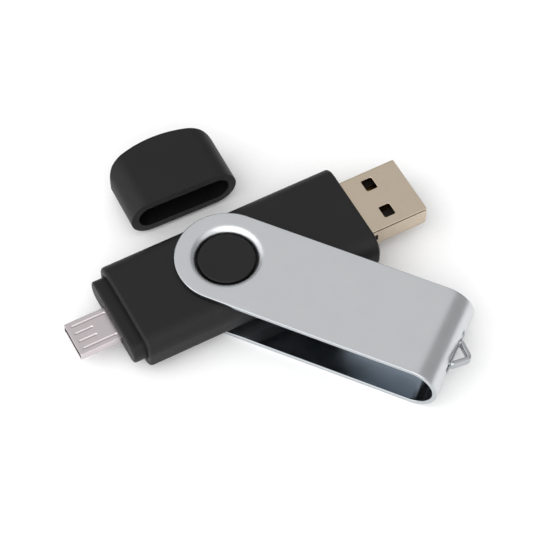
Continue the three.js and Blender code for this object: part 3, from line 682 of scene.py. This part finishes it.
def micro_shell():
    """A drawn sleeve with four pressed grooves, and two slots underneath for the latches."""
    outline = micro_section(0)
    inner = matched(outline, micro_section(MICRO_SHEET))
    top = MICRO_Z + MICRO_HEIGHT / 2
    count = round((MICRO_REAR_X - MICRO_TIP_X) / (1.5 * MICRO_GRID))
    rim_x = MICRO_TIP_X + MICRO_EDGE
    rings = []
    for k in range(count + 1):
        x = MICRO_REAR_X + (rim_x - MICRO_REAR_X) * k / count
        rings.append([(x, y, z - (groove_depth(x, y) if z > top - LINING_DEPTH else 0)) for y, z in outline])
    for k in range(1, MICRO_EDGE_STEPS + 1):
        angle = math.pi / 2 * k / MICRO_EDGE_STEPS
        share = MICRO_EDGE * (1 - math.cos(angle)) / MICRO_SHEET
        rings.append(between(outline, inner, share, MICRO_TIP_X + MICRO_EDGE * (1 - math.sin(angle))))
    rings += [between(outline, inner, share, x)
              for share, x in ((0.6, MICRO_TIP_X), (1, rim_x), (1, MICRO_REAR_X))]
    shell = skinned(rings, capped=False)
    half = LATCH_WIDTH / 2 + FIT
    start = MICRO_TIP_X + LATCH_HOOK_FROM_TIP - FIT
    for side in (-1, 1):
        cut(shell, box(start, start + LATCH_HOOK_LENGTH + 2 * FIT, side * LATCH_Y - half,
                       side * LATCH_Y + half, MICRO_Z - MICRO_HEIGHT, MICRO_Z))
    # The faces inside the sleeve take the darker nickel, as painted shade.
    lining = MICRO_SHEET - LINING_DEPTH
    return painted_shade_inside(shell, MICRO_WIDTH / 2 - lining, top - MICRO_HEIGHT + lining, top - lining)


def matched(outline, inner):
    """For each outline point, the nearest point of the inner outline."""
    corners = [Vector(p) for p in inner]
    made = []
    for point in outline:
        here = Vector(point)
        best = None
        for a, b in zip(corners, corners[1:] + corners[:1]):
            run = b - a
            share = min(1.0, max(0.0, (here - a).dot(run) / run.length_squared))
            place = a + run * share
            if best is None or (place - here).length < (best - here).length:
                best = place
        made.append(tuple(best))
    return made


def micro_tongue():
    width, height = MICRO_TONGUE
    top = MICRO_TONGUE_UNDER + height
    block = box(MICRO_TONGUE_TIP_X, MICRO_REAR_X, -width / 2, width / 2, MICRO_TONGUE_UNDER, top)
    half_groove = MICRO_CONTACT[0] / 2 + FIT
    for i in range(MICRO_CONTACT_COUNT):
        y = (i - (MICRO_CONTACT_COUNT - 1) / 2) * MICRO_CONTACT_PITCH
        cut(block, box(MICRO_CONTACT_TIP_X - FIT, MICRO_REAR_X + OVERLAP, y - half_groove,
                       y + half_groove, top - MICRO_CONTACT[1] - FIT, top + OVERLAP))
    return softened(block, SMALL_EDGE)


def micro_latch(side):
    """A leaf spring with a hook that stands out through its slot."""
    low = MICRO_TONGUE_UNDER
    high = low + LATCH_THICKNESS
    hook = MICRO_TIP_X + LATCH_HOOK_FROM_TIP
    under = MICRO_Z - MICRO_HEIGHT / 2 - LATCH_HOOK_RISE
    rise, fall = (hook + LATCH_HOOK_LENGTH * share for share in LATCH_PEAK)
    outline = [(hook, low, 0), (rise, under, LATCH_CORNER), (fall, under, LATCH_CORNER),
               (hook + LATCH_HOOK_LENGTH, low, 0), (MICRO_REAR_X, low, 0), (MICRO_REAR_X, high, 0),
               (hook, high, 0)]
    y = side * LATCH_Y
    leaf = prism(lambda _: rounded(outline, SMALL_ARC_STEPS), along_y,
                 y - LATCH_WIDTH / 2, y + LATCH_WIDTH / 2)
    return softened(leaf, SMALL_EDGE)


# ---------------------------------------------------------------- clip


def mid_leaf():
    """The clip's middle surface for the upper leaf: rings of (position, outward normal) from the
    tip of the hole's rim to the leaf's outline, which is a half circle and then a rectangle."""
    level = CLIP_OUTER - CLIP_SHEET / 2
    flare = RIM_FLARE - CLIP_SHEET / 2
    flare_start = RIM_THROAT + RIM_FLARE
    flare_centre = Vector((0, 0, level - flare))
    up = Vector((0, 0, 1))
    columns = []
    for k in range(LEAF_RAYS):
        angle = 2 * math.pi * k / LEAF_RAYS
        out = Vector((math.cos(angle), math.sin(angle), 0))
        column = [(out * (flare_start - flare) + up * RIM_TIP_Z, -out)]
        for j in range(FLARE_STEPS + 1):
            tilt = math.pi / 2 * (1 - j / FLARE_STEPS)
            normal = up * math.cos(tilt) - out * math.sin(tilt)
            column.append((out * flare_start + flare_centre + normal * flare, normal))
        reach = leaf_reach(angle)
        for j in range(1, LEAF_STEPS + 1):
            column.append((out * (flare_start + (reach - flare_start) * j / LEAF_STEPS) + up * level, up))
        columns.append(column)
    return columns


def leaf_reach(angle):
    """From the swivel axis to the leaf's outline, or to the line where the plain strip begins."""
    half = CLIP_WIDTH / 2
    if math.cos(angle) <= 1e-9:
        return half
    to_side = half / abs(math.sin(angle)) if abs(math.sin(angle)) > 1e-9 else math.inf
    return min(to_side, LEAF_JOIN_X / math.cos(angle))


def strip_rows():
    """The plain strip between the leaves, as (x, z, outward normal) rows: along the upper leaf, round
    the bend with rows at the slot's long edges, and back along the lower leaf."""
    radius = CLIP_OUTER - CLIP_SHEET / 2
    straight = [LEAF_JOIN_X + (CLIP_BEND_X - LEAF_JOIN_X) * j / STRIP_STEPS for j in range(1, STRIP_STEPS)]
    slot_angle = math.asin(SLOT_HALF_HEIGHT / radius)
    arc = [math.pi / 2 - (math.pi / 2 - slot_angle) * k / BEND_STEPS for k in range(BEND_STEPS + 1)]
    arc += [slot_angle * (1 - k / SLOT_STEPS) for k in range(1, SLOT_STEPS + 1)]
    arc += [-a for a in reversed(arc[:-1])]
    rows = [(x, radius, Vector((0, 0, 1))) for x in straight]
    rows += [(CLIP_BEND_X + radius * math.cos(a), radius * math.sin(a),
              Vector((math.cos(a), 0, math.sin(a)))) for a in arc]
    rows += [(x, -radius, Vector((0, 0, -1))) for x in reversed(straight)]
    return rows


def in_slot(place):
    """Whether a face's middle lies in the slot that takes the loop."""
    return (place.x > CLIP_BEND_X and abs(place.y) < SLOT_HALF_WIDTH - LINING_DEPTH
            and abs(place.z) < SLOT_HALF_HEIGHT - LINING_DEPTH)


def swivel_clip():
    """The clip as a middle surface given its thickness, with rounded edges all round."""
    bm = bmesh.new()
    normals = {}

    def corner(position, normal):
        made = bm.verts.new(position)
        normals[made] = normal
        return made

    ends = {}
    for side in (1, -1):
        flip = Vector((1, 1, side))
        columns = [[corner(p * flip, n * flip) for p, n in column] for column in mid_leaf()]
        for near, far in zip(columns, columns[1:] + columns[:1]):
            for j in range(len(near) - 1):
                quad = (near[j], near[j + 1], far[j + 1], far[j])
                bm.faces.new(quad if side > 0 else quad[::-1])
        ends[side] = sorted((c[-1] for c in columns if abs(c[-1].co.x - LEAF_JOIN_X) < 1e-4),
                            key=lambda v: v.co.y)
    across = [v.co.y for v in ends[-1]]
    rows = [[corner((x, y, z), normal) for y in across] for x, z, normal in strip_rows()]
    rows = [ends[1], *rows, ends[-1]]
    for near, far in zip(rows, rows[1:]):
        for i in range(len(near) - 1):
            if not in_slot((near[i].co + near[i + 1].co + far[i].co + far[i + 1].co) / 4):
                bm.faces.new((near[i], far[i], far[i + 1], near[i + 1]))
    bmesh.ops.delete(bm, geom=[v for v in bm.verts if not v.link_faces], context="VERTS")
    return thickened(bm, normals, CLIP_SHEET, CLIP_EDGE)


def rim_directions(bm, normals):
    """For each point on a sheet's rim, the way out of the sheet there, longer at a corner so that
    the rims on both sides of it keep their width."""
    outward = {}
    for v in bm.verts:
        rims = [e for e in v.link_edges if e.is_boundary]
        if not rims:
            continue
        total = Vector()
        for e in rims:
            middle = (e.verts[0].co + e.verts[1].co) / 2
            across = (e.verts[1].co - e.verts[0].co).normalized().cross(normals[v])
            if across.dot(e.link_faces[0].calc_center_median() - middle) > 0:
                across = -across
            total += across.normalized()
        average = total / len(rims)
        outward[v] = average / max(average.length_squared, LONGEST_MITRE)
    return outward


def rim_section(half, edge):
    """Points (out, up) round a sheet's rounded rim, from its outer face to its inner one."""
    turns = [math.pi / 2 * k / RIM_STEPS for k in range(1, RIM_STEPS + 1)]
    quarter = [(edge * math.sin(a), half - edge * (1 - math.cos(a))) for a in turns]
    return quarter + [(out, -up) for out, up in reversed(quarter)]


def thickened(bm, normals, thickness, edge):
    """A closed sheet round a middle surface. Its rims are rounded, and each face knows whether it
    is outside (0), on a rim (1) or inside (2)."""
    outward = rim_directions(bm, normals)
    half = thickness / 2
    sheet = bmesh.new()
    outer, inner, rim = {}, {}, {}
    for v in bm.verts:
        base = v.co - outward[v] * edge if v in outward else v.co
        outer[v] = sheet.verts.new(base + normals[v] * half)
        inner[v] = sheet.verts.new(base - normals[v] * half)
    for f in bm.faces:
        sheet.faces.new([outer[v] for v in f.verts]).material_index = 0
        sheet.faces.new([inner[v] for v in reversed(f.verts)]).material_index = 2
    for v, across in outward.items():
        base = v.co - across * edge
        round_rim = [sheet.verts.new(base + across * out + normals[v] * up)
                     for out, up in rim_section(half, edge)]
        rim[v] = [outer[v], *round_rim, inner[v]]
    for e in bm.edges:
        if e.is_boundary:
            a, b = rim[e.verts[0]], rim[e.verts[1]]
            for k in range(len(a) - 1):
                sheet.faces.new((a[k], a[k + 1], b[k + 1], b[k])).material_index = 1
    bm.free()
    return mesh_object(sheet)


def keyring_loop():
    """Flat wire bent to a closed triangle and butt-welded: a rounded section swept round it. The
    triangle's base lies inside the bend, and its sides run on past the slot to where they meet."""
    reach = CLIP_BEND_X + CLIP_OUTER
    inset = LOOP_WIRE / 2
    rounding_off = 1 / math.sin(math.atan2(LOOP_HALF_BASE, LOOP_REACH)) - 1
    nose = reach + LOOP_REACH + (LOOP_NOSE_RADIUS + inset) * rounding_off
    back = reach - LOOP_WIRE
    half_base = LOOP_HALF_BASE * (reach + LOOP_REACH - back) / LOOP_REACH
    slope = math.atan2(half_base, nose - back)
    nose -= inset / math.sin(slope)
    back += inset
    half = (nose - back) * math.tan(slope)
    path = rounded([(back, -half, LOOP_FOOT_RADIUS), (nose, 0, LOOP_NOSE_RADIUS),
                    (back, half, LOOP_FOOT_RADIUS)], 2 * EDGE_STEPS)
    section = rectangle(LOOP_WIRE, LOOP_HEIGHT, LOOP_WIRE_EDGE, steps=EDGE_STEPS)
    rings = []
    for i, point in enumerate(path):
        before, after = Vector(path[i - 1]), Vector(path[(i + 1) % len(path)])
        along = (after - before).normalized()
        across = Vector((along.y, -along.x))
        rings.append([(point[0] + across.x * u, point[1] + across.y * u, v) for u, v in section])
    return skinned(rings, capped=False)


# ---------------------------------------------------------------- cap


def cap_plan(inset, mouth_y):
    """The cap from above, drawn in by the given amount: straight sides and a crowned end."""
    half, corner, crown = CAP_WIDTH / 2 - inset, CAP_CORNER - inset, CAP_CROWN - inset
    crown_y = CAP_DEPTH - CAP_CROWN
    corner_x = half - corner
    corner_y = crown_y + math.sqrt((crown - corner) ** 2 - corner_x ** 2)
    blend = math.atan2(corner_y - crown_y, corner_x)
    right = [(corner_x + corner * math.cos(a), corner_y + corner * math.sin(a))
             for a in (blend * k / ARC_STEPS for k in range(ARC_STEPS + 1))]
    left = [(-x, y) for x, y in reversed(right)]
    end = [(crown * math.cos(a), crown_y + crown * math.sin(a))
           for a in (blend + (math.pi - 2 * blend) * k / CROWN_STEPS for k in range(1, CROWN_STEPS))]
    return [(-half, mouth_y), (half, mouth_y), *right, *end, *left]


def cap_form(inset, from_y):
    """The cap's solid form: a stadium section along Y, cut to the plan."""
    high = CAP_HEIGHT - 2 * inset
    section = prism(lambda _: rectangle(CAP_WIDTH - 2 * inset, high, high / 2, steps=2 * ARC_STEPS), along_y,
                    from_y, CAP_DEPTH + 1)
    plan = prism(lambda _: cap_plan(inset, from_y - 1), along_z, -CAP_HEIGHT, CAP_HEIGHT)
    return combined(section, plan, "INTERSECT")


def cap(bars):
    shell = softened(cap_form(0, 0), CAP_END_EDGE, 50, 5)
    shell = joined(cut(shell, cap_form(CAP_WALL, -OVERLAP)), cap_ribs(bars))
    return softened(shell, CAP_EDGE, 50)


# ---------------------------------------------------------------- what repeats


def row_tree():
    """Geometry Nodes that set out equal bars with rounded ends in a row across Y."""
    tree = bpy.data.node_groups.new("bars_in_a_row", "GeometryNodeTree")
    face = tree.interface
    face.new_socket("Geometry", in_out="INPUT", socket_type="NodeSocketGeometry")
    face.new_socket("Count", in_out="INPUT", socket_type="NodeSocketInt")
    for label in ("Pitch", "Length", "Width", "Thickness", "Edge", "Middle X", "Underside"):
        face.new_socket(label, in_out="INPUT", socket_type="NodeSocketFloat")
    plating = face.new_socket("Material", in_out="INPUT", socket_type="NodeSocketMaterial")
    plating.default_value = gold_plate
    face.new_socket("Geometry", in_out="OUTPUT", socket_type="NodeSocketGeometry")
    given = node(tree, "NodeGroupInput").outputs

    def maths(operation, a, b):
        return node(tree, "ShaderNodeMath", {0: a, 1: b}, operation=operation).outputs[0]

    first_y = maths("MULTIPLY", maths("MULTIPLY", maths("ADD", given["Count"], -1.0), given["Pitch"]), -0.5)
    start = node(tree, "ShaderNodeCombineXYZ", {
        "X": given["Middle X"], "Y": first_y, "Z": given["Underside"]})
    step = node(tree, "ShaderNodeCombineXYZ", {"Y": given["Pitch"]})
    line = node(tree, "GeometryNodeMeshLine", {
        "Count": given["Count"], "Start Location": start.outputs[0], "Offset": step.outputs[0]},
        mode="OFFSET")
    plan = node(tree, "GeometryNodeCurvePrimitiveQuadrilateral", {
        "Width": given["Length"], "Height": given["Width"]})
    eased = node(tree, "GeometryNodeFilletCurve", {
        "Curve": plan.outputs[0], "Count": EDGE_STEPS, "Radius": given["Edge"]}, mode="POLY")
    face_down = node(tree, "GeometryNodeFillCurve", {"Curve": eased.outputs[0]}, mode="NGONS")
    raised = node(tree, "ShaderNodeCombineXYZ", {"Z": given["Thickness"]})
    bar = node(tree, "GeometryNodeExtrudeMesh", {
        "Mesh": face_down.outputs[0], "Offset": raised.outputs[0], "Offset Scale": 1.0})
    base = node(tree, "GeometryNodeFlipFaces", {"Mesh": face_down.outputs[0]})
    both = node(tree, "GeometryNodeJoinGeometry")
    for part in (base, bar):
        tree.links.new(part.outputs["Mesh"], both.inputs["Geometry"])
    closed = node(tree, "GeometryNodeMergeByDistance", {"Geometry": both.outputs[0], "Distance": 1e-4})
    spots = node(tree, "GeometryNodeInstanceOnPoints", {
        "Points": line.outputs[0], "Instance": closed.outputs[0]})
    real = node(tree, "GeometryNodeRealizeInstances", {"Geometry": spots.outputs[0]})
    painted = node(tree, "GeometryNodeSetMaterial", {
        "Geometry": real.outputs[0], "Material": given["Material"]})
    node(tree, "NodeGroupOutput", {"Geometry": painted.outputs[0]})
    return tree


def bar_row(tree, **values):
    """Runs the tree on an empty mesh and returns the bars as a plain mesh object."""
    holder = bpy.data.objects.new("bars", bpy.data.meshes.new("bars"))
    bpy.context.scene.collection.objects.link(holder)
    modifier = holder.modifiers.new("row", "NODES")
    modifier.node_group = tree
    for item in tree.interface.items_tree:
        name = item.name.replace(" ", "_").lower()
        if item.in_out == "INPUT" and name in values:
            modifier[item.identifier] = values[name]
    holder.update_tag()
    made = plain_mesh(holder)
    bm = bmesh.new()
    bm.from_mesh(made.data)
    bmesh.ops.recalc_face_normals(bm, faces=bm.faces)
    bm.to_mesh(made.data)
    bm.free()
    return made


def gathered(first, *others):
    """One mesh out of several."""
    bm = bmesh.new()
    for thing in (first, *others):
        bm.from_mesh(thing.data)
    bm.to_mesh(first.data)
    bm.free()
    for thing in others:
        bpy.data.objects.remove(thing)
    return first


def contact_strips(tree):
    """All the stamped contacts: the wide plug's outer pair for power, its inner pair set further
    back for data, and the small plug's five."""
    width, thickness = WIDE_CONTACT
    rows = []
    for pitch, tip in ((WIDE_POWER_PITCH, WIDE_CONTACT_TIP_X),
                       (WIDE_DATA_PITCH, WIDE_CONTACT_TIP_X - WIDE_DATA_BACK)):
        rows.append(bar_row(
            tree, count=2, pitch=pitch, length=tip - WIDE_CONTACT_REAR_X, width=width, thickness=thickness,
            edge=WIDE_CONTACT_CORNER, middle_x=(tip + WIDE_CONTACT_REAR_X) / 2, underside=WIDE_CONTACT_Z))
    width, thickness = MICRO_CONTACT
    rows.append(bar_row(
        tree, count=MICRO_CONTACT_COUNT, pitch=MICRO_CONTACT_PITCH,
        length=MICRO_REAR_X - MICRO_CONTACT_TIP_X, width=width, thickness=thickness,
        edge=MICRO_CONTACT_CORNER, middle_x=(MICRO_CONTACT_TIP_X + MICRO_REAR_X) / 2,
        underside=MICRO_TONGUE_UNDER + MICRO_TONGUE[1] - thickness))
    return gathered(*rows)


def cap_ribs(tree):
    """Low ribs that grip the plug's shell, two on each wide wall, rooted in the wall."""
    width, length, height = CAP_RIB
    wall = CAP_HEIGHT / 2 - CAP_WALL
    rows = [bar_row(
        tree, count=2, pitch=CAP_RIB_SPREAD, length=length, width=width, thickness=height + OVERLAP,
        edge=CAP_RIB_CORNER, middle_x=CAP_RIB_Y + length / 2, underside=under)
        for under in (wall - height, -wall - OVERLAP)]
    ribs = gathered(*rows)
    ribs.data.transform(Matrix.Rotation(math.pi / 2, 4, "Z"))
    return ribs


# ---------------------------------------------------------------- camera, light and floor

CAMERA_AZIMUTH, CAMERA_ELEVATION, CAMERA_ROLL = (math.radians(a) for a in (-27.161, 56.378, -0.946))
CAMERA_DISTANCE = 0.3645
CAMERA_LENS, CAMERA_SENSOR = 145.4, 36.0
CAMERA_TARGET = (6.339, -2.243, 0)


def set_camera():
    """A long lens, looking down at the drive from the small plug's side."""
    target = DRIVE @ Vector(CAMERA_TARGET)
    back = Vector((math.sin(CAMERA_AZIMUTH) * math.cos(CAMERA_ELEVATION),
                   -math.cos(CAMERA_AZIMUTH) * math.cos(CAMERA_ELEVATION),
                   math.sin(CAMERA_ELEVATION)))
    data = bpy.data.cameras.new("camera")
    data.lens = CAMERA_LENS
    data.sensor_width = CAMERA_SENSOR
    data.clip_start, data.clip_end = 0.01, 10.0
    camera = bpy.data.objects.new("camera", data)
    camera.location = target + back * CAMERA_DISTANCE
    level = (-back).to_track_quat("-Z", "Y").to_matrix()
    camera.rotation_euler = (level @ Matrix.Rotation(CAMERA_ROLL, 3, "Z")).to_euler()
    bpy.context.scene.collection.objects.link(camera)
    bpy.context.scene.camera = camera


WORLD_LIGHT = 0.38
# Each lamp's place, its width and its power, in metres and watts.
LAMPS = {
    "overhead": ((0.25, 0.42, 0.85), 1.3, 1.6),
    "key": ((-0.55, -0.35, 0.6), 1.7, 9.6),
    "front": ((0.05, -0.75, 0.55), 1.7, 4.4),
    "left": ((-0.6, 0.45, 0.5), 1.0, 2.2),
}
FLOOR_REACH = 3.0


def soft_light(name, place, size, power):
    """A round lamp turned to the middle of the floor."""
    data = bpy.data.lights.new(name, "AREA")
    data.shape = "DISK"
    data.size = size
    data.energy = power
    light = bpy.data.objects.new(name, data)
    light.location = place
    light.rotation_euler = (-Vector(place)).to_track_quat("-Z", "Y").to_euler()
    bpy.context.scene.collection.objects.link(light)


def set_light():
    world = bpy.data.worlds.new("studio")
    bpy.context.scene.world = world
    world.use_nodes = True
    tree = world.node_tree
    tree.nodes.clear()
    back = node(tree, "ShaderNodeBackground", {"Color": (1, 1, 1, 1), "Strength": WORLD_LIGHT})
    node(tree, "ShaderNodeOutputWorld", {"Surface": back.outputs[0]})
    for name, lamp in LAMPS.items():
        soft_light(name, *lamp)


def make_floor():
    bm = bmesh.new()
    bmesh.ops.create_grid(bm, x_segments=2, y_segments=2, size=FLOOR_REACH)
    floor = mesh_object(bm, "floor")
    material, tree, shader, place = surface("pale_paper_sweep", Metallic=0.0, Roughness=0.9)
    tone = mixed(tree, noise(tree, place, 0.6, 3.0), linear("#fafafa"), linear("#ffffff"))
    tree.links.new(tone, shader.inputs["Base Color"])
    floor.data.materials.append(material)


# ---------------------------------------------------------------- assembly

bars = row_tree()

set_camera()
set_light()
make_floor()
bpy.context.scene.view_settings.view_transform = "Standard"

for shape, name, slot, materials, stands_for, *smooth_angle in (
    (upper_housing(), "upper_housing_moulding", "black_abs", [housing_abs], ["upper_housing"]),
    (lower_housing(), "lower_housing_moulding", "black_abs", [housing_abs], ["lower_housing"]),
    (plug_collar(), "plug_collar_moulding", "black_abs", [housing_abs], ["plug_collar"]),
    (wide_shell(), "usb_a_folded_shell", "warm_nickel", [warm_nickel, shaded_nickel], ["usb_a_shell"]),
    (wide_tongue(), "usb_a_tongue_moulding", "black_lcp", [tongue_resin], ["usb_a_tongue"]),
    (micro_shell(), "micro_usb_drawn_shell", "pale_nickel", [pale_nickel, shaded_nickel],
     ["micro_usb_shell"], 50),
    (micro_tongue(), "micro_usb_tongue_moulding", "black_lcp", [tongue_resin], ["micro_usb_tongue"]),
    (micro_latch(1), "micro_usb_latch_left_spring", "pale_nickel", [pale_nickel], ["micro_usb_latch_left"]),
    (micro_latch(-1), "micro_usb_latch_right_spring", "pale_nickel", [pale_nickel],
     ["micro_usb_latch_right"]),
):
    finished(shape, name, DRIVE, "housing", slot, materials, stands_for, *smooth_angle)

contacts = [f"usb_a_contact_{i}" for i in range(1, 5)]
contacts += [f"micro_usb_contact_{i}" for i in range(1, MICRO_CONTACT_COUNT + 1)]
finished(contact_strips(bars), "stamped_contacts", DRIVE, "housing", "gold_contact", [gold_plate], contacts)
finished(swivel_clip(), "swivel_clip_sheet", CLIP, "clip", "satin_chrome",
         [blasted_chrome, polished_edge, inner_chrome], ["swivel_clip"], 60)
finished(keyring_loop(), "keyring_loop_wire", CLIP, "clip", "bright_chrome", [wire_chrome],
         ["keyring_loop"], 60)
finished(cap(bars), "cap_moulding", CAP, "cap", "black_abs_cap", [cap_abs], ["cap"])

# What is soldered in the shut housing keeps its plain shape under its own material.
cad_materials = {
    "circuit_board": green_mask,
    "flash_memory_chip": chip_resin,
    "controller_chip": chip_resin,
    "crystal": tin_plate,
}
for name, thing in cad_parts.items():
    material = cad_materials.get(name)
    if name.startswith("capacitor"):
        material = ceramic
    elif name.startswith("resistor"):
        material = chip_resin
    if material and not thing.hide_render:
        for place in thing.material_slots:
            place.material = material
